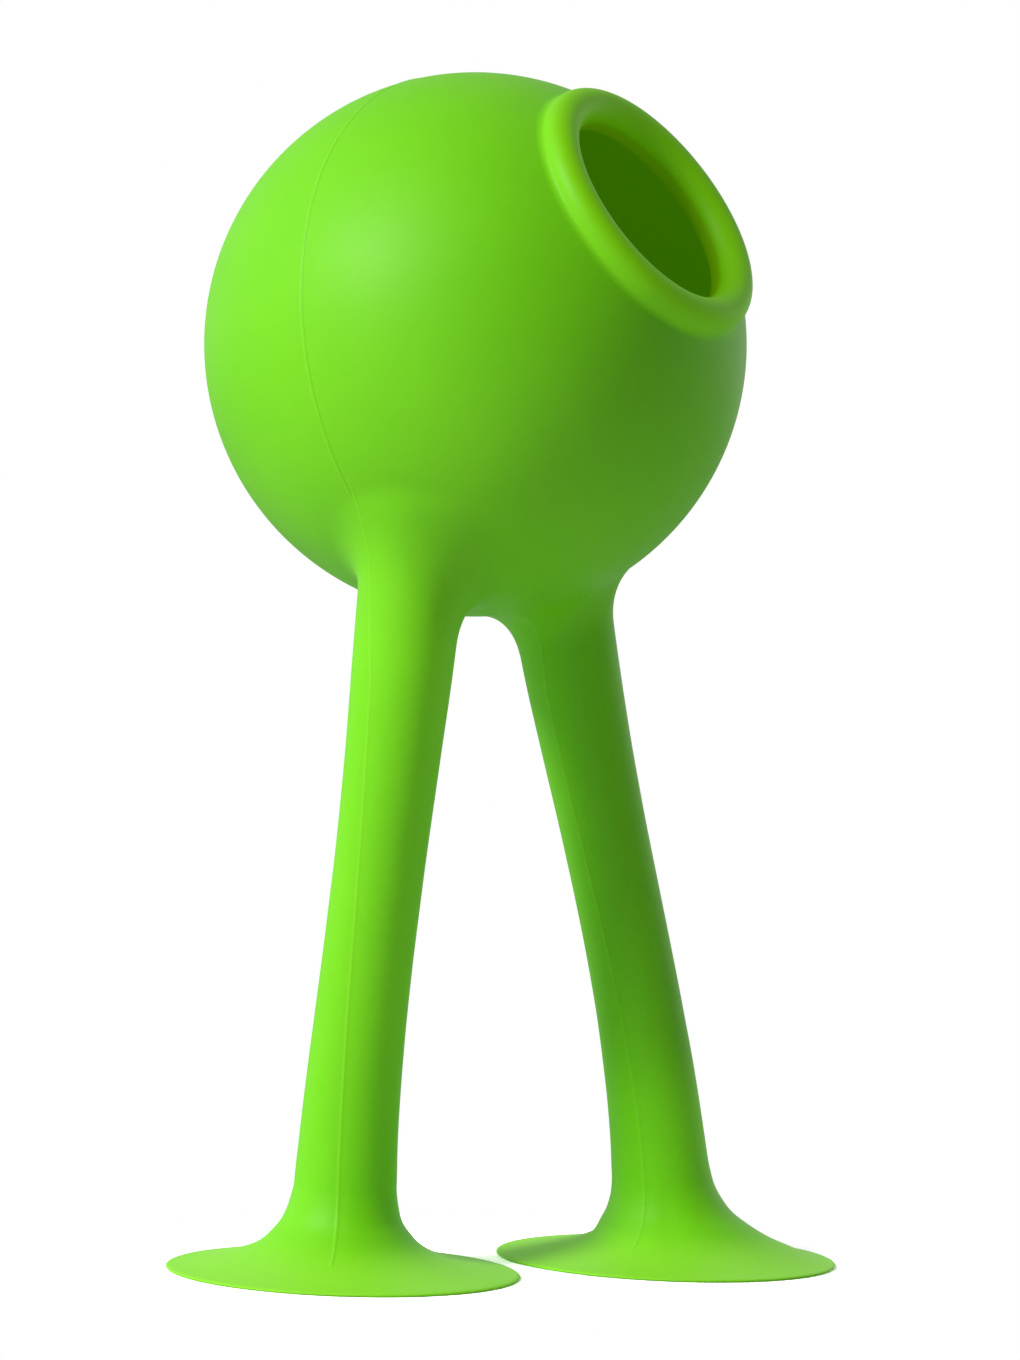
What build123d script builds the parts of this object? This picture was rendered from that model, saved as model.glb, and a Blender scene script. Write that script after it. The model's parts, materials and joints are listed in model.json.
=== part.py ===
from build123d import *
import math
import os

# Squeeze bulb on two flexible legs with suction-cup feet, in millimetres, +Z up.
# The real thing is one hollow silicone moulding. It is divided here where it flexes:
# every region that bends, twists or presses on its own is a separate solid.
# The origin is on the floor under the centre of the overall box. The mouth faces -Y
# and upwards, and the left side is at -X.

SIDES = {"left": -1, "right": 1}  # sign of X on each side

# ---- bulb ---------------------------------------------------------------------
BALL_R = 30.0            # outside radius
WALL = 2.6               # wall thickness
BALL_INNER_R = BALL_R - WALL
BALL_Z = 102.37          # height of the centre above the floor

MOUTH_YAW = 0.8          # mouth direction: degrees from -Y towards +X ...
MOUTH_PITCH = 31.9       # ... and degrees above the horizon
LIP_RING_R = 13.53       # radius of the lip bead's centre line, and of the mouth hole
LIP_BEAD_R = 1.99        # radius of the lip bead itself
LIP_HEIGHT = 26.54       # bead centre line, measured from the bulb's centre along the mouth
LIP_GAP = 0.05           # clearance between the lip and the bulb
COLLAR_DEPTH = 6.0       # collar length before the bulb's hollow trims it

SQUEEZE_R = 20.0         # radius of each squeeze wall, seen along its own axis
SQUEEZE_GAP = 0.10
SQUEEZE_SIDE = 0.90      # squeeze axis: share sideways, backwards and upwards
SQUEEZE_BACK = 0.35
SQUEEZE_UP = 0.26
CUT_LENGTH = 40.0        # reaches from the bulb's centre out through its wall

# ---- feet ---------------------------------------------------------------------
FOOT_R = 19.4            # outside radius of each suction cup
CUP_SPLIT_R = 12.0       # where the stiff foot ends and the thin lip begins
CUP_GAP = 0.10
CUP_TOP_Z = 7.6
COLUMN_FOOT_Z = 3.4      # where the leg's last length ends, inside the cup

# Half profiles, (radius, height above the floor).
CUP_FLARE = ((5.95, CUP_TOP_Z), (6.85, 5.1), (9.0, 3.1))  # start, middle and end of an arc
CUP_EDGE = ((CUP_SPLIT_R, 1.85), (CUP_SPLIT_R, 0.75))     # top and bottom
CUP_UNDERSIDE = ((8.5, 1.25), (0, 1.6))
SUCTION_LIP = (
    (CUP_SPLIT_R + CUP_GAP, 1.83),
    (FOOT_R - 0.45, 0.45),
    (FOOT_R, 0.30),
    (FOOT_R, 0.12),
    (FOOT_R - 0.15, 0.0),
    (FOOT_R - 1.9, 0.0),
    (CUP_SPLIT_R + CUP_GAP, 0.74),
)

# ---- legs ---------------------------------------------------------------------
ROOT_Z = 83.0            # top of the leg, inside the bulb wall
ROOT_TAPER_Z = 68.0      # where the root's taper changes
SWING_Z = 62.0           # heights of the flex points above the floor
SPLAY_Z = 52.0
KNEE_Z = 38.0
TWIST_Z = 27.0
ANKLE_Z = 14.0

KNOB_R = 3.0             # rubber core that carries on through a flex point
KNOB_GAP = 0.05
SOCKET_R = KNOB_R + KNOB_GAP
BEND_CONE = 22.5         # slope in degrees of the relief each side of a 40 degree flex point
ANKLE_CONE = 15.0        # the same at a 25 degree flex point
TWIST_CONE = 2.0         # nearly flat faces at the twist point

# Leg radius by height, slightly waisted at the knee.
LEG_R = {
    ANKLE_Z: 5.43,
    TWIST_Z: 5.02,
    KNEE_Z: 4.90,
    SPLAY_Z: 5.02,
    SWING_Z: 5.32,
    ROOT_TAPER_Z: 5.55,
    ROOT_Z: 5.9,
}

# Flexing lengths: name, top and bottom height, top and bottom cone.
SEGMENTS = (
    ("hip", SWING_Z, SPLAY_Z, BEND_CONE, BEND_CONE),
    ("thigh", SPLAY_Z, KNEE_Z, BEND_CONE, BEND_CONE),
    ("calf", KNEE_Z, TWIST_Z, BEND_CONE, TWIST_CONE),
    ("ankle_stem", TWIST_Z, ANKLE_Z, TWIST_CONE, ANKLE_CONE),
)

# Each leg's centre line runs from a hip point along a horizontal bearing, by a
# distance that is a polynomial in height (coefficients from the constant term up).
HIP = {"left": (-14.2, -2.8), "right": (14.2, -3.6)}
BEARING = {"left": (0.473551, 0.880767), "right": (0.918840, -0.394630)}
RUN = {
    "left": (10.031114, 1.1729608e-1, -9.7785146e-3, 1.1682853e-4, -4.5326311e-7),
    "right": (16.354492, -6.3446946e-2, -3.9871555e-3, 1.1427660e-5, 1.6074040e-7),
}


# ---- placing ------------------------------------------------------------------
def leg_offset(side, z):
    """X and Y of a leg's centre line, measured from the bulb's centre."""
    run = sum(factor * z**power for power, factor in enumerate(RUN[side]))
    return HIP[side][0] + BEARING[side][0] * run, HIP[side][1] + BEARING[side][1] * run


yaw, pitch = math.radians(MOUTH_YAW), math.radians(MOUTH_PITCH)
MOUTH = Vector(
    math.sin(yaw) * math.cos(pitch),
    -math.cos(yaw) * math.cos(pitch),
    math.sin(pitch),
)
SQUEEZE = {
    side: Vector(sign * SQUEEZE_SIDE, SQUEEZE_BACK, SQUEEZE_UP).normalized()
    for side, sign in SIDES.items()
}

# Centre of the overall box in plan, measured from the bulb's centre. The box is bounded
# by the left foot or the bulb, the right foot, the mouth's lip and the bulb's back.
FOOT = {side: leg_offset(side, 0.0) for side in SIDES}
LIP_FRONT = -MOUTH.Y * LIP_HEIGHT + LIP_RING_R * math.sqrt(1 - MOUTH.Y**2) + LIP_BEAD_R
BOX_X = (min(FOOT["left"][0] - FOOT_R, -BALL_R) + (FOOT["right"][0] + FOOT_R)) / 2
BOX_Y = (min(FOOT["right"][1] - FOOT_R, -LIP_FRONT) + BALL_R) / 2

BALL = Vector(-BOX_X, -BOX_Y, BALL_Z)


def leg_point(side, z):
    """Point on a leg's centre line at a height."""
    x, y = leg_offset(side, z)
    return Vector(x - BOX_X, y - BOX_Y, z)


def radial_plane(start, along):
    """Sketch plane whose Y axis runs from start along a direction, for revolved profiles."""
    direction = along.normalized()
    across = direction.cross(Vector(0, 1, 0)).normalized()
    return Plane(origin=start, x_dir=across, z_dir=across.cross(direction))


def upright_plane(base):
    """Radial plane for a foot: X is the radius, Y the height above the floor."""
    return Plane(origin=base, x_dir=(1, 0, 0), z_dir=(0, -1, 0))


MOUTH_PLANE = radial_plane(BALL, MOUTH)


# ---- ends of the leg lengths, drawn into the open BuildLine ---------------------
def polar(radius, degrees, along=0.0):
    """Point at a radius and angle around a flex point that lies on the Y axis."""
    angle = math.radians(degrees)
    return radius * math.cos(angle), along + radius * math.sin(angle)


def cone_rise(radius, cone):
    """How far a receding face rises from the axis out to a radius."""
    return radius * math.tan(math.radians(cone))


def knob_end(radius, cone):
    """Upper end of a length, at a flex point: rubber core, then the receding face."""
    core_edge = polar(KNOB_R, cone)
    ThreePointArc((0, -KNOB_R), polar(KNOB_R, (cone - 90) / 2), core_edge)
    Line(core_edge, (radius, cone_rise(radius, cone)))


def socket_end(length, radius, cone):
    """Lower end of a length: the receding face, then the hollow for the next core."""
    hollow_edge = polar(SOCKET_R, -cone, length)
    hollow_middle = polar(SOCKET_R, -(cone + 90) / 2, length)
    Line((radius, length - cone_rise(radius, cone)), hollow_edge)
    ThreePointArc(hollow_edge, hollow_middle, (0, length - SOCKET_R))


# ---- bulb pieces --------------------------------------------------------------
def make_mouth_lip():
    """Rolled bead on a short collar that lines the hole."""
    with BuildPart() as mouth_lip:
        with BuildSketch(MOUTH_PLANE):
            with Locations((LIP_RING_R, LIP_HEIGHT)):
                Circle(LIP_BEAD_R)
            with Locations((LIP_RING_R - LIP_BEAD_R, LIP_HEIGHT)):
                Rectangle(LIP_BEAD_R - LIP_GAP, COLLAR_DEPTH, align=(Align.MIN, Align.MAX))
        revolve(axis=Axis(BALL, MOUTH))
        with Locations(BALL):
            Sphere(BALL_INNER_R, mode=Mode.SUBTRACT)
    return mouth_lip.part


def make_hollow_ball():
    """Hollow ball, open at the mouth and at the two squeeze walls."""
    with BuildPart() as hollow_ball:
        with BuildSketch(MOUTH_PLANE):
            with BuildLine():
                Line((0, -BALL_R), (0, -BALL_INNER_R))
                ThreePointArc((0, -BALL_INNER_R), (BALL_INNER_R, 0), (0, BALL_INNER_R))
                Line((0, BALL_INNER_R), (0, BALL_R))
                ThreePointArc((0, BALL_R), (BALL_R, 0), (0, -BALL_R))
            make_face()
            Rectangle(LIP_RING_R, CUT_LENGTH, align=(Align.MIN, Align.MIN), mode=Mode.SUBTRACT)
            with Locations((LIP_RING_R, LIP_HEIGHT)):
                Circle(LIP_BEAD_R + LIP_GAP, mode=Mode.SUBTRACT)
        revolve(axis=Axis(BALL, MOUTH))
        for side in SIDES:
            with Locations(Plane(origin=BALL, z_dir=SQUEEZE[side])):
                Cylinder(
                    SQUEEZE_R + SQUEEZE_GAP,
                    CUT_LENGTH,
                    align=(Align.CENTER, Align.CENTER, Align.MIN),
                    mode=Mode.SUBTRACT,
                )
    return hollow_ball.part


def make_leg_root(side):
    """Top of a leg, from within the bulb wall down to the swing point."""
    top, pivot = leg_point(side, ROOT_Z), leg_point(side, SWING_Z)
    length = (pivot - top).length
    radius = LEG_R[SWING_Z]
    with BuildPart() as leg_root:
        with BuildSketch(radial_plane(top, pivot - top)):
            with BuildLine():
                Polyline(
                    (0, length - SOCKET_R),
                    (0, 0),
                    (LEG_R[ROOT_Z], 0),
                    (LEG_R[ROOT_TAPER_Z], ROOT_Z - ROOT_TAPER_Z),
                    (radius, length - cone_rise(radius, BEND_CONE)),
                )
                socket_end(length, radius, BEND_CONE)
            make_face()
        revolve(axis=Axis(top, pivot - top))
        # end the root halfway through the bulb wall
        with Locations(BALL):
            Sphere(BALL_R - WALL / 2, mode=Mode.SUBTRACT)
    return leg_root.part


def join(*pieces):
    with BuildPart() as joined:
        for piece in pieces:
            add(piece)
    return joined.part


def make_squeeze_wall(side):
    """Flank of the bulb that a finger presses in."""
    with BuildPart() as squeeze_wall:
        with Locations(BALL):
            Sphere(BALL_R)
            Sphere(BALL_INNER_R, mode=Mode.SUBTRACT)
        with Locations(Plane(origin=BALL, z_dir=SQUEEZE[side])):
            Cylinder(
                SQUEEZE_R,
                CUT_LENGTH,
                align=(Align.CENTER, Align.CENTER, Align.MIN),
                mode=Mode.INTERSECT,
            )
    return squeeze_wall.part


# ---- leg and foot pieces ------------------------------------------------------
def make_segment(side, z_top, z_bottom, cone_top, cone_bottom):
    """Flexing length of leg between two flex points."""
    upper, lower = leg_point(side, z_top), leg_point(side, z_bottom)
    length = (lower - upper).length
    r_top, r_bottom = LEG_R[z_top], LEG_R[z_bottom]
    with BuildPart() as segment:
        with BuildSketch(radial_plane(upper, lower - upper)):
            with BuildLine():
                knob_end(r_top, cone_top)
                Line(
                    (r_top, cone_rise(r_top, cone_top)),
                    (r_bottom, length - cone_rise(r_bottom, cone_bottom)),
                )
                socket_end(length, r_bottom, cone_bottom)
                Line((0, length - SOCKET_R), (0, -KNOB_R))
            make_face()
        revolve(axis=Axis(upper, lower - upper))
    return segment.part


def make_cup(base):
    """Flared cup, hollowed slightly underneath."""
    with BuildPart() as cup:
        with BuildSketch(upright_plane(base)):
            with BuildLine():
                Line((0, CUP_TOP_Z), CUP_FLARE[0])
                ThreePointArc(*CUP_FLARE)
                Line(CUP_FLARE[-1], CUP_EDGE[0])
                Line(*CUP_EDGE)
                Polyline(CUP_EDGE[1], *CUP_UNDERSIDE, (0, CUP_TOP_Z))
            make_face()
        revolve(axis=Axis(base, (0, 0, 1)))
    return cup.part


def make_column(side, base):
    """The leg's last length, leaning with the leg."""
    ankle = leg_point(side, ANKLE_Z)
    down = base + Vector(0, 0, COLUMN_FOOT_Z) - ankle
    radius = LEG_R[ANKLE_Z]
    with BuildPart() as column:
        with BuildSketch(radial_plane(ankle, down)):
            with BuildLine():
                knob_end(radius, ANKLE_CONE)
                Polyline(
                    (radius, cone_rise(radius, ANKLE_CONE)),
                    (radius, down.length),
                    (0, down.length),
                    (0, -KNOB_R),
                )
            make_face()
        revolve(axis=Axis(ankle, down))
    return column.part


def make_suction_lip(base):
    """Thin ring around the cup, down to the floor."""
    with BuildPart() as suction_lip:
        with BuildSketch(upright_plane(base)):
            with BuildLine():
                Polyline(*SUCTION_LIP, SUCTION_LIP[0])
            make_face()
        revolve(axis=Axis(base, (0, 0, 1)))
    return suction_lip.part


# ---- build and write ----------------------------------------------------------
def save(part, name):
    part.label = name
    export_step(part, f"parts/{name}.step")


os.makedirs("parts", exist_ok=True)

save(make_mouth_lip(), "mouth_lip")
save(join(make_hollow_ball(), *(make_leg_root(side) for side in SIDES)), "ball_shell")

for side in SIDES:
    save(make_squeeze_wall(side), f"{side}_squeeze_wall")
    for name, *stations in SEGMENTS:
        save(make_segment(side, *stations), f"{side}_{name}")
    base = leg_point(side, 0.0)
    save(join(make_cup(base), make_column(side, base)), f"{side}_foot")
    save(make_suction_lip(base), f"{side}_suction_lip")
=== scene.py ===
"""A hollow green silicone ball with a rolled round mouth, on two leaning legs with suction-cup feet.

Sizes are millimetres unless noted, and meshes are made in metres. The floor is z = 0 and the
mouth looks along -Y and upwards. The left leg is on the -X side of the ball, the right on +X.
"""

import json
import math

import bmesh
import bpy
import numpy as np
from mathutils import Matrix, Vector
from mathutils.kdtree import KDTree


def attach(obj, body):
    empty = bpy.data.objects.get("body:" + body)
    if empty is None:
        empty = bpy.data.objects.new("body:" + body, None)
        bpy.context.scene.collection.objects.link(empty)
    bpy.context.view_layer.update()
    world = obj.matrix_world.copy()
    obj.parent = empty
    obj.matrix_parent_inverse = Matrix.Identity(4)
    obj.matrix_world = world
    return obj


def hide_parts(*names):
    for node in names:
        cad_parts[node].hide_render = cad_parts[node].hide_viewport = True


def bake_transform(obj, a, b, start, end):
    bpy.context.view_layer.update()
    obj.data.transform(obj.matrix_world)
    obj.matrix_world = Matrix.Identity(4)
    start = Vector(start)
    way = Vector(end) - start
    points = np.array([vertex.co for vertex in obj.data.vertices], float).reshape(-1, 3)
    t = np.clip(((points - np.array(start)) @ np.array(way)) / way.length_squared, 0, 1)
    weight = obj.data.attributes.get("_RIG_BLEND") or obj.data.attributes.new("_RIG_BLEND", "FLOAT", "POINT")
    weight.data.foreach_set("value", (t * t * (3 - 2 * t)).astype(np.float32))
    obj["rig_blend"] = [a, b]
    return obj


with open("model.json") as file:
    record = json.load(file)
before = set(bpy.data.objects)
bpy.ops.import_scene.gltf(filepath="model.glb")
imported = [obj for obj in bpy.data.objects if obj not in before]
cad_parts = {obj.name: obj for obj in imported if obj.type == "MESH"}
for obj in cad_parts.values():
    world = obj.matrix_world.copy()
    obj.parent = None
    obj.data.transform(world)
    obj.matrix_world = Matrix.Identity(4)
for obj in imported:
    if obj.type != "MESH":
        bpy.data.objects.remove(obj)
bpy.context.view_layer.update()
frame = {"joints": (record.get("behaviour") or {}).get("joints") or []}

MM = 0.001
SIDES = ("left", "right")
UPWARD = np.array([0.0, 0.0, 1.0])

# ------------------------------------------------------------------ ball
# The scene's origin in the frame the hips, ball and camera are measured in.
ORIGIN = np.array([9.31358071, -0.83554073, 0.0])
BALL = np.array([0.0, 0.0, 102.37]) - ORIGIN
R_OUT, R_IN = 30.0, 27.4
YAW, PITCH = math.radians(0.8), math.radians(31.9)
MOUTH = np.array(
    [math.sin(YAW) * math.cos(PITCH), -math.cos(YAW) * math.cos(PITCH), math.sin(PITCH)]
)
# the parting line's plane: its normal, and the two directions it spans
PART_NORMAL = np.array([-0.002139, -0.991528, 0.129875])
PART_W = np.array([-0.023667, 0.129889, 0.991246])
PART_X = np.cross(PART_W, PART_NORMAL)
# outward directions of the two flanks, and distances from the ball's centre along them
JOINTS = {joint["name"]: joint for joint in frame["joints"]}
SQUEEZE = {side: -np.array(JOINTS[f"{side}_squeeze"]["axis"], float) for side in SIDES}
FLANK_CUT, FLANK_START, FLANK_END = 15.0, 15.5, 29.5

# ------------------------------------------------------------------ legs
# Each axis leaves its hip point along a level bearing; RUN is the polynomial in height
# (constant first) for the distance gone. Above STRAIGHT_Z the axis is a straight line.
HIP = {"left": np.array([-14.2, -2.8]), "right": np.array([14.2, -3.6])}
BEARING = {"left": np.array([0.473551, 0.880767]), "right": np.array([0.918840, -0.394630])}
ACROSS = {side: np.array([-BEARING[side][1], BEARING[side][0]]) for side in SIDES}
RUN = {
    "left": (10.031114, 1.1729608e-1, -9.7785146e-3, 1.1682853e-4, -4.5326311e-7),
    "right": (16.354492, -6.3446946e-2, -3.9871555e-3, 1.1427660e-5, 1.6074040e-7),
}
STRAIGHT_Z = 78.0
# (height, leg radius)
LEG_RADIUS = {
    "left": (
        (0, 5.70), (9.9, 5.62), (14.3, 5.43), (18.8, 5.28), (23.2, 5.16), (27.7, 5.05),
        (32.1, 4.98), (36.5, 4.94), (40.9, 4.94), (45.3, 4.95), (49.7, 5.01), (54.0, 5.10),
        (58.4, 5.21), (62.7, 5.36), (67.0, 5.48), (72.0, 5.58), (90.0, 5.75),
    ),
    "right": (
        (0, 5.68), (9.0, 5.65), (13.6, 5.42), (18.2, 5.24), (22.8, 5.11), (27.3, 4.97),
        (31.9, 4.89), (36.5, 4.84), (41.0, 4.83), (45.6, 4.85), (50.1, 4.90), (54.6, 5.01),
        (59.1, 5.14), (63.6, 5.31), (68.1, 5.46), (72.0, 5.56), (90.0, 5.75),
    ),
}
# (height, azimuth of the leg's parting line in degrees)
PART_AZIMUTH = {
    "left": (
        (0, 213), (8, 212), (20, 207), (35, 198), (50, 189), (62, 183), (72, 181), (90, 180),
    ),
    "right": ((0, 195), (15, 194.5), (30, 190), (45, 184), (58, 180), (72, 180), (90, 180)),
}
# Each cup is pulled sideways by its leaning leg: the azimuth of the pull, then
# (height, extra radius) on the outer side and on the inner side.
PULL = {
    "left": (
        math.radians(127.0),
        ((0.0, 0.0), (2.5, 0.0), (4.0, 0.2), (5.0, 0.25), (6.3, 0.22), (8.0, 0.15),
         (10.0, 0.0), (99.0, 0.0)),
        ((0.0, 0.0), (0.5, 0.0), (0.9, -0.5), (1.3, -0.8), (2.0, -0.75), (3.2, -0.46),
         (4.2, -0.28), (5.5, -0.17), (8.0, 0.0), (99.0, 0.0)),
    ),
    "right": (
        math.radians(-53.0),
        ((0.0, 0.0), (0.5, 0.35), (1.1, 1.4), (1.82, 2.5), (2.55, 2.65), (3.46, 2.45),
         (4.5, 1.95), (5.94, 1.25), (7.0, 0.9), (8.4, 0.45), (10.0, 0.15), (12.0, 0.0),
         (99.0, 0.0)),
        ((0.0, 0.0), (0.5, 0.0), (1.0, -0.7), (1.5, -1.25), (2.1, -1.5), (2.7, -1.35),
         (3.5, -0.75), (4.6, -0.25), (5.8, -0.05), (7.5, 0.0), (9.0, 0.0), (99.0, 0.0)),
    ),
}
# (azimuth in degrees, size of the fillet between leg and ball)
FILLET = {
    "left": ((127, 3.7), (217, 4.4), (307, 6.3), (397, 5.8), (487, 3.7)),
    "right": ((-53, 5.5), (37, 6.0), (127, 6.3), (217, 5.4), (307, 5.5)),
}
# (radius, height) down the outside of a foot, over its rim, then along the underside to the middle
FOOT_STATIONS = (
    (5.66, 9.2), (5.78, 8.2), (5.98, 7.2), (6.32, 6.2), (6.80, 5.3), (7.55, 4.4), (8.45, 3.55),
    (9.5, 2.86), (10.7, 2.30), (12.2, 1.78), (14.0, 1.32), (15.8, 0.94), (17.3, 0.66),
    (18.4, 0.49), (19.05, 0.40), (19.33, 0.29), (19.40, 0.17), (19.28, 0.05), (18.98, 0.0),
    (18.4, 0.0), (17.7, 0.02), (16.8, 0.09), (15.2, 0.28), (13.0, 0.55), (10.0, 0.95),
    (6.5, 1.34), (3.0, 1.55), (1.2, 1.60),
)
# mesh, frame part it bends towards, height of its lower cut, heights where the bend starts and ends
LEG_PARTS = (
    ("hip", "hip", 57.0, 66.6, 57.4),
    ("thigh", "thigh", 45.4, 56.6, 47.4),
    ("calf", "calf", 31.5, 43.2, 32.8),
    ("shin", "ankle_stem", 20.6, 31.4, 22.0),
    ("ankle", "foot", 8.0, 19.6, 8.6),
    ("cup", "suction_lip", None, 3.0, 0.8),
)
LEG_CUTS = [part[2] for part in LEG_PARTS[:-1]]
HIP_LOW = 64.6  # below this the leg is a plain tube
TUBE_STEP = 0.62
HIP_ROWS = 64

# parting line: a fine raised flash, with mesh columns packed closely beside it
RIDGE_WIDTH, RIDGE_HEIGHT = 0.17, 0.055
FINE_OFFSETS = np.array([-0.62, -0.38, -0.24, -0.16, -0.08, 0.0, 0.08, 0.16, 0.24, 0.38, 0.62])
PLAIN_COLUMNS = 70  # further columns in each half turn


# ------------------------------------------------------------------ curves
def smooth(t):
    """Eases from 0 to 1 as t goes from 0 to 1."""
    t = np.clip(t, 0.0, 1.0)
    return t * t * (3 - 2 * t)


def pchip(table, x):
    """Smooth monotone interpolation through a table of pairs."""
    xs, ys = np.array(table, float).T
    width = np.diff(xs)
    rise = np.diff(ys) / width
    slope = np.zeros(len(xs))
    slope[0], slope[-1] = rise[0], rise[-1]
    for i in range(1, len(xs) - 1):
        slope[i] = 0.0 if rise[i - 1] * rise[i] <= 0 else 0.5 * (rise[i - 1] + rise[i])
    x = np.clip(np.asarray(x, float), xs[0], xs[-1])
    k = np.clip(np.searchsorted(xs, x) - 1, 0, len(width) - 1)
    t = (x - xs[k]) / width[k]
    return (
        (2 * t**3 - 3 * t**2 + 1) * ys[k]
        + (t**3 - 2 * t**2 + t) * width[k] * slope[k]
        + (-2 * t**3 + 3 * t**2) * ys[k + 1]
        + (t**3 - t**2) * width[k] * slope[k + 1]
    )


def unit(vectors):
    return vectors / np.maximum(np.linalg.norm(vectors, axis=-1, keepdims=True), 1e-12)


def ridge(distance):
    """Relative height of the flash at a distance from the parting line."""
    return np.exp(-((distance / RIDGE_WIDTH) ** 2))


def thinness(z):
    """1 in the thin cup near the floor, 0 higher up."""
    return smooth((4.6 - z) / 3.6)


# ------------------------------------------------------------------ mesh helpers
def outward_normals(grid, centre, sample):
    """Normals of a grid that closes round its columns, facing away from centre at the sample."""
    round_columns = np.roll(grid, -1, 1) - np.roll(grid, 1, 1)
    normals = unit(np.cross(round_columns, np.gradient(grid, axis=0)))
    return normals * np.sign(((grid[sample] - centre) * normals[sample]).sum())


class Build:
    """Collects vertices, faces and per-corner normals, then makes one Blender mesh."""

    def __init__(self):
        self.vertices, self.faces, self.normals = [], [], []
        self.attributes = {"seam": [], "thin": [], "inside": [], "limb": []}

    def add(self, points, **given):
        """Adds points with their attributes (0 where not given); returns the first index."""
        start = len(self.vertices)
        self.vertices.extend(np.asarray(points, float).reshape(-1, 3).tolist())
        blank = [0.0] * (len(self.vertices) - start)
        for label, store in self.attributes.items():
            store.extend(np.ravel(given.get(label, blank)).tolist())
        return start

    def face(self, corners, normals=None):
        """A face without normals is shaded flat."""
        self.faces.append(corners)
        self.normals.append(normals)

    def grid(self, points, normals, seam, limb=None, flat_last=False):
        """A grid that closes round its columns; its last column of faces may be flat."""
        rows, columns = points.shape[:2]
        limb = np.zeros((rows, columns)) if limb is None else limb
        start = self.add(points, seam=seam, thin=thinness(points[..., 2]), limb=limb)
        normals = normals.reshape(-1, 3)
        for i in range(rows - 1):
            for j in range(columns):
                k = (j + 1) % columns
                here, below = i * columns, (i + 1) * columns
                quad = [below + j, below + k, here + k, here + j]
                flat = flat_last and k == 0
                self.face([start + a for a in quad], None if flat else [normals[a] for a in quad])
        return start

    def fan(self, ring, tip, flip=False, ring_normals=None, tip_normal=None):
        """Closes a ring of vertex numbers onto a point; flat without normals."""
        centre = self.add([tip], thin=[thinness(tip[2])], limb=[1.0])
        for j in range(len(ring)):
            k = (j + 1) % len(ring)
            corners = [ring[j], ring[k], centre]
            normals = None
            if ring_normals is not None:
                normals = [ring_normals[j], ring_normals[k], tip_normal]
            if flip:
                corners.reverse()
                if normals:
                    normals.reverse()
            self.face(corners, normals)

    def make(self, name):
        mesh = bpy.data.meshes.new(name)
        mesh.from_pydata([(np.array(p) * MM).tolist() for p in self.vertices], [], self.faces)
        mesh.update()
        mesh.polygons.foreach_set("use_smooth", [True] * len(mesh.polygons))
        corners = []
        for polygon, normals in zip(mesh.polygons, self.normals):
            if normals is None:
                corners.extend([tuple(polygon.normal)] * polygon.loop_total)
            else:
                corners.extend(tuple(normal) for normal in normals)
        mesh.normals_split_custom_set(corners)
        for label, values in self.attributes.items():
            attribute = mesh.attributes.new(label, "FLOAT", "POINT")
            attribute.data.foreach_set("value", np.array(values, np.float32))
        made = bpy.data.objects.new(name, mesh)
        bpy.context.scene.collection.objects.link(made)
        return made


# ------------------------------------------------------------------ leg shape
def axis_slope(side, z):
    return sum(n * k * z ** (n - 1) for n, k in enumerate(RUN[side]) if n)


def axis_xy(side, z):
    """Level position of the leg's axis at a height."""
    low = np.minimum(z, STRAIGHT_Z)
    run = sum(k * low**n for n, k in enumerate(RUN[side]))
    run = run + (z - low) * axis_slope(side, STRAIGHT_Z)
    return HIP[side] + run[..., None] * BEARING[side] - ORIGIN[:2]


def axis_point(side, z):
    return np.append(axis_xy(side, z), z)


def lean(side, z):
    """Angle of the axis from the vertical."""
    return np.arctan(axis_slope(side, np.minimum(z, STRAIGHT_Z)))


def column_angles(azimuth, radius):
    """Angles round a leg from one parting line, and distances to the nearer of the two."""
    angles, distances = [], []
    for start in (azimuth, azimuth + math.pi):
        end = start + math.pi
        first = FINE_OFFSETS[FINE_OFFSETS >= 0] / radius + start
        last = end + FINE_OFFSETS[FINE_OFFSETS < 0] / radius
        middle = np.linspace(first[-1], last[0], PLAIN_COLUMNS + 2)[1:-1]
        half = np.concatenate([first, middle, last])
        angles.append(half)
        distances.append(np.minimum(half - start, end - half) * radius)
    return np.concatenate(angles), np.concatenate(distances)


def leg_columns(side, z, radius):
    return column_angles(math.radians(float(pchip(PART_AZIMUTH[side], z))), radius)


def leg_point(side, z, angle, radius):
    """Points of a level section: a circle across the leaning leg, upright near the floor."""
    z, angle, radius = np.broadcast_arrays(z, angle, radius)
    tilt = lean(side, z) * smooth((z - 3.0) / 7.0)
    ray = np.stack([np.cos(angle), np.sin(angle)], -1)
    along = (ray @ BEARING[side]) * radius / np.cos(tilt)
    across = (ray @ ACROSS[side]) * radius
    xy = axis_xy(side, np.maximum(z, 0.0))
    xy = xy + along[..., None] * BEARING[side] + across[..., None] * ACROSS[side]
    return np.concatenate([xy, z[..., None]], -1)


def pull(side, z, angle):
    """Extra radius of a cup pulled by its leg."""
    azimuth, outer, inner = PULL[side]
    facing = np.cos(angle - azimuth)
    return (
        pchip(outer, z) * np.maximum(facing, 0) ** 1.3
        + pchip(inner, z) * np.maximum(-facing, 0) ** 1.3
    )


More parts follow.
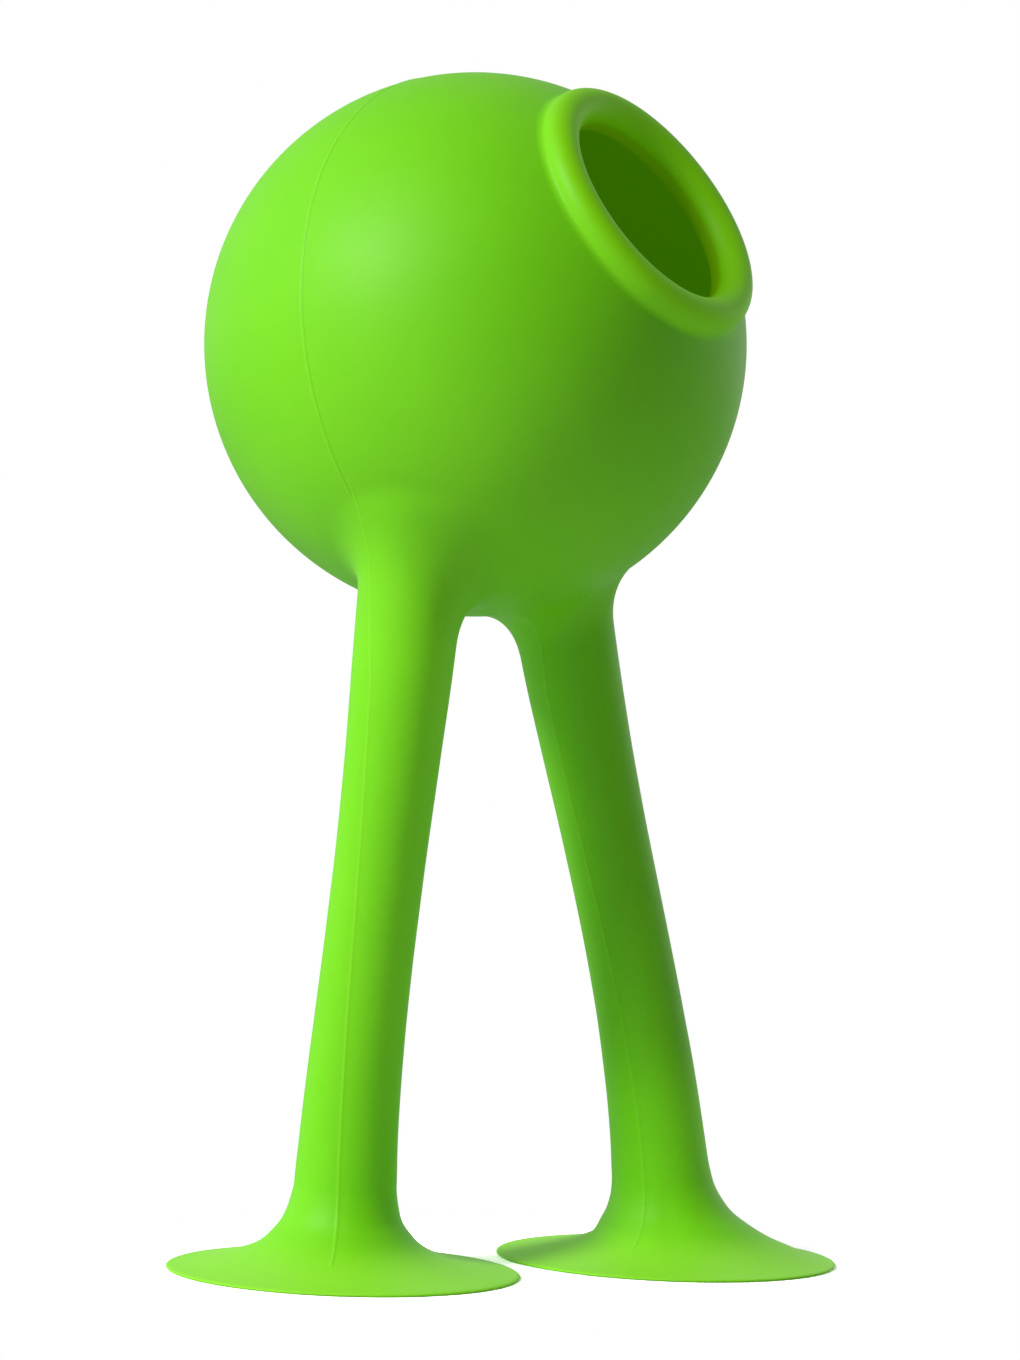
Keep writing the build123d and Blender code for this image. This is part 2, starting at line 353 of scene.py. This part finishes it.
def foot_profile():
    """Catmull-Rom curve through the foot stations, five steps to each."""
    p = np.array(FOOT_STATIONS, float)
    q = np.vstack([2 * p[0] - p[1], p, 2 * p[-1] - p[-2]])
    out = []
    for i in range(1, len(q) - 2):
        a, b, c, d = q[i - 1 : i + 3]
        for t in np.linspace(0, 1, 5, endpoint=False):
            out.append(0.5 * (
                (2 * b) + (-a + c) * t
                + (2 * a - 5 * b + 4 * c - d) * t**2
                + (-a + 3 * b - 3 * c + d) * t**3
            ))
    out.append(q[-2])
    return np.array(out)


# ------------------------------------------------------------------ hip fillet
def fillet_size(side, offset):
    azimuths, sizes = np.array(FILLET[side], float).T
    azimuth = np.degrees(np.arctan2(offset[..., 1], offset[..., 0]))
    azimuth = azimuths[0] + np.mod(azimuth - azimuths[0], 360.0)
    i = np.clip(np.searchsorted(azimuths, azimuth) - 1, 0, len(azimuths) - 2)
    f = smooth((azimuth - azimuths[i]) / (azimuths[i + 1] - azimuths[i]))
    return sizes[i] + (sizes[i + 1] - sizes[i]) * f


def hip_field(side, points):
    """Signed distances to the blended skin, the ball and the leg, and the fillet size."""
    to_ball = np.linalg.norm(points - BALL, axis=-1) - R_OUT
    z = points[..., 2]
    offset = points[..., :2] - axis_xy(side, z)
    along = (offset @ BEARING[side]) * np.cos(lean(side, z))
    across = offset @ ACROSS[side]
    # the leg dies out a little way up the ball
    vanish = 12.0 * smooth((z - 82.0) / 16.0)
    to_leg = np.sqrt(along**2 + across**2) - pchip(LEG_RADIUS[side], z) + vanish
    size = fillet_size(side, offset)
    near = np.clip(size - np.abs(to_ball - to_leg), 0, None) / size
    return np.minimum(to_ball, to_leg) - near * near * size * 0.25, to_ball, to_leg, size


def field_slope(side, points, direction, reach=1e-4):
    ahead = hip_field(side, points + direction * reach)[0]
    return (ahead - hip_field(side, points - direction * reach)[0]) / (2 * reach)


def settle(side, points, rays):
    """Moves points onto the skin within the upright planes of their rays."""
    for _ in range(3):
        value = hip_field(side, points)[0]
        outward = field_slope(side, points, rays)
        upward = field_slope(side, points, UPWARD)
        steepness = np.maximum(outward**2 + upward**2, 1e-9)
        direction = rays * outward[..., None] + UPWARD * upward[..., None]
        points = points - direction * (value / steepness)[..., None]
    return points


def hip_grid(side):
    """Rows that climb from a level ring on the leg, through the fillet, onto the ball."""
    step, most_steps = 0.12, 420
    radius = float(pchip(LEG_RADIUS[side], HIP_LOW))
    angles, _ = leg_columns(side, HIP_LOW, radius)
    rays = np.stack([np.cos(angles), np.sin(angles), 0 * angles], -1)
    points = leg_point(side, HIP_LOW, angles, radius)
    path = [points]
    ends = np.full(len(angles), np.nan)
    heading = np.tile([0.0, 1.0], (len(angles), 1))  # (outward, upward)
    for i in range(most_steps):
        outward = field_slope(side, points, rays)
        upward = field_slope(side, points, UPWARD)
        tangent = unit(np.stack([-upward, outward], -1))
        sign = np.sign((tangent * heading).sum(-1))
        heading = tangent * np.where(sign == 0, 1, sign)[:, None]
        points = points + rays * (heading[:, :1] * step) + UPWARD * (heading[:, 1:] * step)
        points = settle(side, points, rays)
        path.append(points)
        # a column ends where the fillet has run out
        _, to_ball, to_leg, size = hip_field(side, points)
        ends[((to_leg - to_ball) > size) & np.isnan(ends)] = i + 1
        if (~np.isnan(ends)).all() and i > np.nanmax(ends) + 6:
            break
    path = np.array(path)
    ends = np.where(np.isnan(ends), len(path) - 8, ends)
    # an even upper edge: the longest of the near columns, then averaged
    ends = np.max([np.roll(ends, shift) for shift in range(-4, 5)], axis=0)
    ends = np.mean([np.roll(ends, shift) for shift in range(-4, 5)], axis=0) + 4
    grid = np.zeros((HIP_ROWS, len(angles), 3))
    for j in range(len(angles)):
        steps = np.linspace(0, 1, HIP_ROWS) * ends[j]
        k = np.clip(steps.astype(int), 0, len(path) - 2)
        f = (steps - k)[:, None]
        grid[:, j] = path[k, j] * (1 - f) + path[k + 1, j] * f
    return settle(side, grid, rays)


# ------------------------------------------------------------------ leg skins
def tube_and_foot(side):
    """(radius, height) rows from HIP_LOW down the tube, then round the foot."""
    foot = foot_profile()
    heights = [HIP_LOW]
    for stop in LEG_CUTS[:-1] + [foot[0, 1]]:
        count = int(round((heights[-1] - stop) / TUBE_STEP))
        heights.extend(np.linspace(heights[-1], stop, count + 1)[1:].tolist())
    radii = pchip(LEG_RADIUS[side], heights)
    # the foot starts at this leg's own radius
    foot[:, 0] += smooth((foot[:, 1] - 6.6) / 2.6) * (radii[-1] - foot[0, 0])
    return np.vstack([np.column_stack([radii, heights])[:-1], foot])


def leg_skin(side):
    """One skin from ball to sole: points, normals, seam, limb, and the rows where parts end."""
    stations = tube_and_foot(side)
    rim_row = stations[:, 0].argmax()
    points, seam = [], []
    for row, (radius, z) in enumerate(stations):
        angles, distances = leg_columns(side, z, max(radius, 2.2))
        extra = pull(side, z, angles) if row <= rim_row else 0.0
        points.append(leg_point(side, z, angles, radius + extra))
        # the flash fades out over the cup
        fade = 0.0 if z < 2.0 else smooth((15.5 - radius) / 6.0)
        seam.append(ridge(distances) * fade)
    points, seam = np.array(points), np.array(seam)
    sample = 5  # a tube row used to tell outside from inside
    centre = axis_point(side, stations[sample, 1])
    normals = outward_normals(points, centre, sample)
    points = points + normals * (seam * RIDGE_HEIGHT)[..., None]
    normals = outward_normals(points, centre, sample)

    hip = hip_grid(side)
    hip_normals = unit(np.stack([field_slope(side, hip, axis) for axis in np.eye(3)], -1))
    # columns fan out as the fillet widens: use true distance from the lines' own columns
    lines = (0, hip.shape[1] // 2)
    reach = [np.linalg.norm(hip - hip[:, line][:, None], axis=-1) for line in lines]
    hip_seam = ridge(np.min(reach, axis=0))
    hip = hip + hip_normals * (hip_seam * RIDGE_HEIGHT)[..., None]

    # the hip rows run downwards here, and give up the ring they share with the tube
    joint = len(hip) - 1
    skin = np.concatenate([hip[:0:-1], points])
    normals = np.concatenate([hip_normals[:0:-1], normals])
    seam = np.concatenate([hip_seam[:0:-1], seam])
    # normals measured on the grid wherever the flash stands proud
    measured = outward_normals(skin, centre, joint + sample)
    normals = np.where((seam > 0.01)[..., None], measured, normals)

    # how much of each point belongs to the leg rather than to the ball
    z = skin[..., 2]
    limb = smooth(1.0 - np.clip(hip_field(side, skin)[2], 0, 9) / 3.5)
    limb = limb * smooth((80.0 - z) / 14.0)
    limb[joint + 1 :] = 1.0
    # painted shade: the right leg's upper part, shadowed by the left leg and the ball, gets no paler tint or
    # glow
    if side == "right":
        limb = limb * smooth((27.0 - z) / 11.0)
    cuts = [joint + int(np.argmax(stations[:, 1] <= cut)) for cut in LEG_CUTS]
    return skin, normals, seam, limb, [0, *cuts, len(skin) - 1]


def close_dome(build, side, rim, ring):
    """Closes the hip's top inside the ball's wall, following the wall."""
    radius = 28.9
    middle = unit(axis_point(side, 76.0) - BALL)
    rays = unit(rim - BALL)
    rings = [BALL + rays * (R_OUT - 0.06)]
    for share in (0.999, 0.8, 0.6, 0.4, 0.2):
        rings.append(BALL + unit(middle + (rays - middle) * share) * radius)
    count = len(ring)
    for points in rings:
        start = build.add(points)
        inner = list(range(start, start + count))
        for j in range(count):
            k = (j + 1) % count
            build.face([ring[j], ring[k], inner[k], inner[j]])
        ring = inner
    build.fan(ring, BALL + middle * radius)


def leg_pieces(side):
    """The skin of one leg, cut where nothing bends, as objects by part name."""
    skin, normals, seam, limb, ends = leg_skin(side)
    pieces = {}
    for (name, *_), first, last in zip(LEG_PARTS, ends, ends[1:]):
        rows = slice(first, last + 1)
        build = Build()
        build.grid(skin[rows], normals[rows], seam[rows], limb[rows])
        columns = skin.shape[1]
        total = len(build.vertices)
        top, bottom = list(range(columns)), list(range(total - columns, total))
        if name == "hip":
            close_dome(build, side, skin[first], top)
        else:
            build.fan(top, skin[first].mean(0))
        sole = {"ring_normals": normals[last], "tip_normal": -UPWARD} if name == "cup" else {}
        build.fan(bottom, skin[last].mean(0), flip=True, **sole)
        pieces[name] = build.make(f"{side}_{name}_skin")
    return pieces


# ------------------------------------------------------------------ ball skins
def mouth_profile():
    """(radius from the mouth's axis, height along it): outer back pole, lip, inner back pole."""
    ring_r, ring_h, bead = 13.53, 26.54, 1.99  # the rolled lip
    edge = 0.55  # rounding between collar and inner wall
    crease = math.asin((ring_r + 1.92) / R_OUT)
    points = [
        (R_OUT * math.sin(a), R_OUT * math.cos(a))
        for a in np.linspace(math.pi - 0.018, crease + 0.028, 170)
    ]
    # small fillet up onto the bead: a Hermite curve
    bead_start = math.radians(-10)
    p0 = points[-1]
    p1 = (ring_r + bead * math.cos(bead_start), ring_h + bead * math.sin(bead_start))
    tangent0 = (-math.cos(crease), math.sin(crease))
    tangent1 = (-math.sin(bead_start), math.cos(bead_start))
    span = math.dist(p0, p1)
    for u in np.linspace(0, 1, 9)[1:-1]:
        points.append(tuple(
            (2 * u**3 - 3 * u**2 + 1) * p0[i]
            + (u**3 - 2 * u**2 + u) * span * tangent0[i]
            + (-2 * u**3 + 3 * u**2) * p1[i]
            + (u**3 - u**2) * span * tangent1[i]
            for i in range(2)
        ))
    for a in np.linspace(bead_start, math.pi, 40):
        points.append((ring_r + bead * math.cos(a), ring_h + bead * math.sin(a)))
    # collar down to the inner wall
    collar_r = ring_r - bead
    collar_h = math.sqrt(R_IN**2 - (collar_r + edge) ** 2)
    for h in np.linspace(ring_h, collar_h + edge, 5)[1:]:
        points.append((collar_r, h))
    for u in np.linspace(0, math.pi / 2, 7)[1:]:
        points.append((collar_r + edge * (1 - math.cos(u)), collar_h + edge - edge * math.sin(u)))
    inner_start = math.asin((collar_r + 0.6) / R_IN)
    for a in np.linspace(inner_start + 0.01, math.pi - 0.03, 70):
        points.append((R_IN * math.sin(a), R_IN * math.cos(a)))
    return np.array(points)


def ball_grid(columns=300):
    """The mouth profile turned round the mouth's axis, with its normals."""
    radius, height = mouth_profile().T[:, :, None, None]
    sideways = unit(np.cross(MOUTH, UPWARD))
    upright = np.cross(sideways, MOUTH)
    turn = np.linspace(0, 2 * math.pi, columns, endpoint=False)[:, None]
    ring = np.cos(turn) * sideways + np.sin(turn) * upright
    points = BALL + radius * ring[None] + height * MOUTH
    return points, outward_normals(points, BALL, 40)


def ball_mesh(points):
    """The whole closed ball as one mesh, still in millimetres."""
    rows, columns = points.shape[:2]
    bm = bmesh.new()
    grid = [[bm.verts.new(point) for point in row] for row in points]
    outer_pole = bm.verts.new(BALL - MOUTH * R_OUT)
    inner_pole = bm.verts.new(BALL - MOUTH * R_IN)
    for i in range(rows - 1):
        for j in range(columns):
            k = (j + 1) % columns
            bm.faces.new([grid[i][j], grid[i][k], grid[i + 1][k], grid[i + 1][j]])
    for j in range(columns):
        k = (j + 1) % columns
        bm.faces.new([grid[0][k], grid[0][j], outer_pole])
        bm.faces.new([grid[-1][j], grid[-1][k], inner_pole])
    bmesh.ops.recalc_face_normals(bm, faces=bm.faces)
    bm.normal_update()
    whole = bpy.data.meshes.new("whole")
    bm.to_mesh(whole)
    bm.free()
    return whole


def inside_amount(offsets):
    """1 on the inner wall, part way on the rolled lip, 0 outside."""
    along = offsets @ MOUTH
    off_axis = np.linalg.norm(offsets - along[:, None] * MOUTH, axis=1)
    lip = 0.42 * smooth((16.2 - off_axis) / 1.5)
    throat = smooth((12.3 - off_axis) / 0.9) * smooth((27.3 - along) / 1.6)
    lip = np.maximum(lip, throat) * (along > 22)
    return np.where(np.linalg.norm(offsets, axis=1) < R_IN + 0.35, 1.0, lip)


def ball_piece(whole, keep, tree, grid_normals):
    """One part of the ball, cut by the flank planes: "main", "left" or "right"."""
    bm = bmesh.new()
    bm.from_mesh(whole)
    for side, axis in SQUEEZE.items():
        if keep not in ("main", side):
            continue
        bmesh.ops.bisect_plane(
            bm, geom=bm.verts[:] + bm.edges[:] + bm.faces[:], dist=1e-5,
            plane_co=Vector(BALL + axis * FLANK_CUT), plane_no=Vector(axis),
            clear_inner=(keep == side), clear_outer=(keep == "main"),
        )
        # join the outer and inner walls across the cut
        bmesh.ops.bridge_loops(bm, edges=[edge for edge in bm.edges if edge.is_boundary])
    bmesh.ops.recalc_face_normals(bm, faces=bm.faces)
    bm.normal_update()
    bm.verts.ensure_lookup_table()
    bm.verts.index_update()

    def skin_normal(place):
        """Exact on the two spheres, taken from the nearest grid point elsewhere."""
        offset = np.array(place) - BALL
        radius, along = np.linalg.norm(offset), offset @ MOUTH
        lip = along > 20 and np.linalg.norm(offset - along * MOUTH) < 16.6
        if not lip and abs(radius - R_OUT) < 5e-3:
            return offset / radius
        if not lip and abs(radius - R_IN) < 5e-3:
            return -offset / radius
        return grid_normals[tree.find(place)[1]]

    def on_cut(normal, centre):
        return any(
            abs(abs(normal @ axis) - 1) < 2e-3 and abs((centre - BALL) @ axis - FLANK_CUT) < 1e-2
            for axis in SQUEEZE.values()
        )

    build = Build()
    offsets = np.array([vertex.co[:] for vertex in bm.verts]) - BALL
    build.add(offsets + BALL, inside=inside_amount(offsets))
    vertex_normals = [skin_normal(vertex.co) for vertex in bm.verts]
    for face in bm.faces:
        normal = np.array(face.normal)
        corners = [vertex.index for vertex in face.verts]
        normals = None
        if not on_cut(normal, np.array(face.calc_center_median())):
            normals = [vertex_normals[i] for i in corners]
            against = normal @ normals[0] < 0 and normal @ normals[-1] < 0
            if face.calc_area() > 1e-3 and against:
                normals = None
        build.face(corners, normals)
    bm.free()
    return build


# section of the ball's flash: (distance across, height above the ball, seam attribute)
FLASH_SECTION = (
    (-0.34, -0.10, 0), (-0.30, 0.0, 0.1), (-0.17, 0.022, 0.5), (-0.08, 0.046, 0.9),
    (0.0, RIDGE_HEIGHT, 1),
    (0.08, 0.046, 0.9), (0.17, 0.022, 0.5), (0.30, 0.0, 0.1), (0.34, -0.10, 0),
)


def part_ray(angle):
    return math.cos(angle) * PART_X + math.sin(angle) * PART_W


def ball_part_at(angle):
    for side, axis in SQUEEZE.items():
        if part_ray(angle) @ axis * R_OUT > FLANK_CUT:
            return side
    return "main"


def add_ball_flash(builds):
    """Arcs of a fine half-round strip round the ball, cut where the pieces meet."""
    angles = np.linspace(0, 2 * math.pi, 7201)
    parts = [ball_part_at(angle) for angle in angles[:-1]]
    changes = [i for i in range(len(parts)) if parts[i] != parts[i - 1]]
    columns = len(FLASH_SECTION)
    for first, last in zip(changes, changes[1:] + changes[:1]):
        start = angles[first]
        end = angles[last] if last > first else angles[last] + 2 * math.pi
        steps = max(2, int((end - start) / math.radians(0.8)))
        strip = []
        for angle in np.linspace(start, end, steps + 1):
            ray = part_ray(angle)
            strip.append([
                BALL + ray * (R_OUT + h - (x * x) / (2 * R_OUT)) + PART_NORMAL * x
                for x, h, _ in FLASH_SECTION
            ])
        strip = np.array(strip)
        normals = outward_normals(strip, BALL, np.s_[:, columns // 2])
        seam = np.tile([amount for *_, amount in FLASH_SECTION], (steps + 1, 1))
        build = builds[parts[first]]
        base = build.grid(strip, normals, seam, flat_last=True)
        end_base = base + steps * columns
        build.face([base + j for j in range(columns)])
        build.face([end_base + j for j in reversed(range(columns))])


def ball_pieces():
    points, normals = ball_grid()
    whole = ball_mesh(points)
    points, normals = points.reshape(-1, 3), normals.reshape(-1, 3)
    tree = KDTree(len(points))
    for i, point in enumerate(points):
        tree.insert(point, i)
    tree.balance()
    names = {"main": "bulb_skin", "left": "left_flank_skin", "right": "right_flank_skin"}
    builds = {keep: ball_piece(whole, keep, tree, normals) for keep in names}
    add_ball_flash(builds)
    bpy.data.meshes.remove(whole)
    return {keep: build.make(names[keep]) for keep, build in builds.items()}


# ------------------------------------------------------------------ shader helpers
def empty_tree(owner):
    owner.use_nodes = True
    owner.node_tree.nodes.clear()
    return owner.node_tree


def add_node(tree, kind, inputs=None, **settings):
    """Adds a shader node; each input is given a value, or an output to link from."""
    made = tree.nodes.new("ShaderNode" + kind)
    for name, value in settings.items():
        setattr(made, name, value)
    for socket, value in (inputs or {}).items():
        if isinstance(value, bpy.types.NodeSocket):
            tree.links.new(value, made.inputs[socket])
        else:
            made.inputs[socket].default_value = value
    return made


def add_math(tree, operation, *values):
    return add_node(tree, "Math", dict(enumerate(values)), operation=operation).outputs[0]


# ------------------------------------------------------------------ silicone
BASE = np.array([0.160, 0.610, 0.004])
DRIFT_DARK, DRIFT_LIGHT = (0.93, 0.965, 0.9), (1.07, 1.03, 1.1)  # factors on BASE
# painted light: the legs' paler tint stands for light coming through the rubber
LIMB_LIGHT_TINT = (1.14, 1.12, 1.4, 1)  # factor on the slim legs
# painted light: the thin cups' lighter yellow-green stands for light shining through the thin rubber
THIN_GLOW_COLOUR = (0.290, 0.820, 0.030, 1)
SEAM_COLOUR = (BASE[0] * 1.55, BASE[1] * 1.16, BASE[2] + 0.02, 1)
# painted shade: the inner wall, and part way the lip, made darker for the shade inside the mouth
INSIDE_SHADE_COLOUR = (0.172, 0.300, 0.0, 1)
SEAM_ON_BALL, SEAM_EXTRA_ON_LIMB = 0.20, 0.28  # how strongly the parting line shows
# emission standing for light that has come through the rubber
NO_GLOW = (0.0, 0.0, 0.0, 1)
LIMB_GLOW = (0.010, 0.038, 0.0, 1)
INSIDE_GLOW = (0.024, 0.092, 0.0, 1)
LIP_GLOW = (0.030, 0.110, 0.0, 1)


def silicone(name):
    """Satin green rubber, steered by the seam, thin, inside and limb attributes."""
    material = bpy.data.materials.new(name)
    tree = empty_tree(material)
    position = add_node(tree, "NewGeometry").outputs["Position"]

    def noise(scale, detail):
        inputs = {"Scale": scale, "Detail": detail, "Vector": position}
        return add_node(tree, "TexNoise", inputs).outputs["Fac"]

    def attribute(label):
        return add_node(tree, "Attribute", attribute_name=label).outputs["Fac"]

    def mix(factor, first, second, amount=1.0):
        share = add_math(tree, "MULTIPLY", factor, amount)
        return add_node(tree, "MixRGB", {0: share, 1: first, 2: second}).outputs[0]

    def map_range(value, low, high):
        inputs = {"Value": value, "To Min": low, "To Max": high}
        return add_node(tree, "MapRange", inputs).outputs[0]

    def bump(scale, detail, strength, distance, **below):
        """Surface grain; distance in metres."""
        inputs = {"Strength": strength, "Distance": distance, "Height": noise(scale, detail)}
        return add_node(tree, "Bump", {**inputs, **below}).outputs[0]

    # broad, slow colour drift
    drift = add_node(tree, "ValToRGB", {0: noise(scale=45.0, detail=3.0)})
    stops = drift.color_ramp.elements
    stops[0].position, stops[1].position = 0.30, 0.72
    stops[0].color = (*(BASE * DRIFT_DARK), 1)
    stops[1].color = (*(BASE * DRIFT_LIGHT), 1)
    # painted light: legs and thin cup edges made paler, standing for light coming through the rubber
    tint = {0: attribute("limb"), 1: drift.outputs[0], 2: LIMB_LIGHT_TINT}
    slim = add_node(tree, "MixRGB", tint, blend_type="MULTIPLY")
    colour = mix(attribute("thin"), slim.outputs[0], THIN_GLOW_COLOUR)
    # the parting line is faint on the ball and a little paler on the legs
    line = add_math(
        tree, "MULTIPLY_ADD", attribute("limb"), SEAM_EXTRA_ON_LIMB, SEAM_ON_BALL
    )
    colour = mix(add_math(tree, "MULTIPLY", attribute("seam"), line), colour, SEAM_COLOUR)
    # painted shade inside the mouth, part way on the lip
    colour = mix(attribute("inside"), colour, INSIDE_SHADE_COLOUR)

    glow = mix(attribute("inside"), mix(attribute("limb"), NO_GLOW, LIMB_GLOW), INSIDE_GLOW)
    # the lip's glow: 4 a (1 - a) peaks half way between outside and inside
    rest = add_math(tree, "SUBTRACT", 1.0, attribute("inside"))
    part_way = add_math(tree, "MULTIPLY", attribute("inside"), rest)
    glow = mix(part_way, glow, LIP_GLOW, amount=4.0)

    fine_grain = bump(scale=5200.0, detail=3.0, strength=0.10, distance=0.00004)
    grain = bump(scale=700.0, detail=2.0, strength=0.06, distance=0.0001, Normal=fine_grain)
    surface = add_node(tree, "BsdfPrincipled", {
        "Base Color": colour,
        "Emission Color": glow,
        "Emission Strength": 1.0,
        "Roughness": map_range(noise(scale=160.0, detail=4.0), low=0.49, high=0.58),
        # almost no sheen on the inner wall
        "Specular IOR Level": map_range(attribute("inside"), low=0.34, high=0.04),
        "IOR": 1.41,
        "Normal": grain,
    })
    add_node(tree, "OutputMaterial", {"Surface": surface.outputs[0]})
    return material


ball = ball_pieces()
legs = {side: leg_pieces(side) for side in SIDES}
green = silicone("satin_green_silicone")
for pieces in (ball, *legs.values()):
    for piece in pieces.values():
        piece.data.materials.append(green)

# ------------------------------------------------------------------ riding on the frame
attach(ball["main"], "ball")
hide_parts("ball_shell", "mouth_lip")
for side in SIDES:
    flank, axis = ball[side], SQUEEZE[side]
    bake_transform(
        flank, "ball", f"{side}_wall",
        start=(BALL + axis * FLANK_START) * MM, end=(BALL + axis * FLANK_END) * MM,
    )
    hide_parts(f"{side}_squeeze_wall")
    parent = "ball"
    for name, part, _, start, end in LEG_PARTS:
        piece, target = legs[side][name], f"{side}_{part}"
        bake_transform(piece, parent, target, start=(0.0, 0.0, start * MM), end=(0.0, 0.0, end * MM))
        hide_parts(target)
        parent = target

# ------------------------------------------------------------------ floor
FADE_START, FADE_END = 0.039, 0.047  # metres from the origin, where the floor turns pure white
CARD_WHITE = (0.70, 0.70, 0.70, 1)  # lights its surroundings
CAMERA_WHITE = (2.4, 2.4, 2.4, 1)  # seen directly, an overexposed white


def floor_material():
    material = bpy.data.materials.new("white_floor")
    tree = empty_tree(material)
    position = add_node(tree, "NewGeometry").outputs["Position"]
    distance = add_node(tree, "VectorMath", {0: position}, operation="LENGTH").outputs["Value"]
    fade = add_node(
        tree, "MapRange", {"Value": distance, "From Min": FADE_START, "From Max": FADE_END},
        interpolation_type="SMOOTHSTEP",
    )
    seen = add_node(tree, "LightPath").outputs["Is Camera Ray"]
    share = add_math(tree, "MULTIPLY", fade.outputs[0], seen)
    colour = add_node(tree, "MixRGB", {0: seen, 1: CARD_WHITE, 2: CAMERA_WHITE})
    paper = add_node(tree, "BsdfDiffuse", {"Color": colour.outputs[0]})
    white = add_node(tree, "Emission", {"Strength": 1.0})
    both = {0: share, 1: paper.outputs[0], 2: white.outputs[0]}
    mixed = add_node(tree, "MixShader", both)
    add_node(tree, "OutputMaterial", {"Surface": mixed.outputs[0]})
    return material


scene = bpy.context.scene
floor_mesh = bpy.data.meshes.new("floor")
floor_mesh.from_pydata([(-3, -3, 0), (3, -3, 0), (3, 3, 0), (-3, 3, 0)], [], [(0, 1, 2, 3)])
floor = bpy.data.objects.new("floor", floor_mesh)
floor.data.materials.append(floor_material())
scene.collection.objects.link(floor)

# ------------------------------------------------------------------ camera
CAMERA_AT = np.array([-350.7582961, -270.3553802, 60.3430056]) - ORIGIN
CAMERA_RIGHT = np.array([0.60024, -0.79888, 0.03874])
CAMERA_UP = np.array([-0.03263, 0.02394, 0.99918])
CAMERA_BACK = np.array([-0.79916, -0.60102, -0.01169])

camera_data = bpy.data.cameras.new("camera")
camera_data.sensor_width = 36.0
camera_data.lens = 105.882353
camera_data.clip_start = 0.01
camera = bpy.data.objects.new("camera", camera_data)
# the nearest true rotation to the three measured directions
left_basis, _, right_basis = np.linalg.svd(np.stack([CAMERA_RIGHT, CAMERA_UP, CAMERA_BACK], 1))
placement = Matrix((left_basis @ right_basis).tolist()).to_4x4()
placement.translation = Vector(CAMERA_AT * MM)
camera.matrix_world = placement
scene.collection.objects.link(camera)
scene.camera = camera
scene.view_settings.view_transform = "Standard"

# ------------------------------------------------------------------ world and key light
# Broad lobes of soft light: direction in the camera's (right, up, back), strength, tightness.
LOBES = (
    ((-1.0, 0.03, -0.06), 0.62, 3.0),
    ((-0.87, 0.34, -0.37), 0.30, 3.0),
    ((0.27, 0.92, -0.29), 0.10, 3.0),
    ((0.70, -0.02, -0.71), 1.15, 4.0),
    ((0.36, 0.24, -0.90), 0.25, 3.0),
    ((-0.80, -0.10, -0.60), 0.40, 4.0),
)
# the key light stands to the camera's upper left, on the camera's side
KEY_DIRECTION = (-0.616, 0.559, 0.555)
KEY_TARGET = np.array([0, 0, 70.0])
KEY_DISTANCE, KEY_SIZE, KEY_WATTS = 700, 190, 4.3
WHITE = (1, 1, 1, 1)


def from_camera(right, up, back):
    return unit(right * CAMERA_RIGHT + up * CAMERA_UP + back * CAMERA_BACK)


def studio_world():
    """Plain white to the camera; to everything else a sum of strength * exp(tight * (cos - 1))."""
    world = bpy.data.worlds.new("studio")
    scene.world = world
    tree = empty_tree(world)
    view = add_node(tree, "TexCoord").outputs["Generated"]
    total = 0.0
    for direction, strength, tight in LOBES:
        sides = {0: view, 1: tuple(from_camera(*direction))}
        cosine = add_node(tree, "VectorMath", sides, operation="DOT_PRODUCT").outputs["Value"]
        exponent = add_math(tree, "MULTIPLY_ADD", cosine, tight, -tight)
        lobe = add_math(tree, "EXPONENT", exponent)
        total = add_math(tree, "MULTIPLY_ADD", lobe, strength, total)
    light = add_node(tree, "Background", {"Color": WHITE, "Strength": total})
    backdrop = add_node(tree, "Background", {"Color": WHITE, "Strength": 1.0})
    seen = add_node(tree, "LightPath").outputs["Is Camera Ray"]
    both = {0: seen, 1: light.outputs[0], 2: backdrop.outputs[0]}
    mixed = add_node(tree, "MixShader", both)
    add_node(tree, "OutputWorld", {"Surface": mixed.outputs[0]})


def key_light():
    direction = from_camera(*KEY_DIRECTION)
    lamp = bpy.data.lights.new("key", "AREA")
    lamp.shape = "DISK"
    lamp.size = KEY_SIZE * MM
    lamp.energy = KEY_WATTS
    key = bpy.data.objects.new("key", lamp)
    key.location = (KEY_TARGET + direction * KEY_DISTANCE) * MM
    key.rotation_euler = Vector(-direction).to_track_quat("-Z", "Y").to_euler()
    scene.collection.objects.link(key)


studio_world()
key_light()
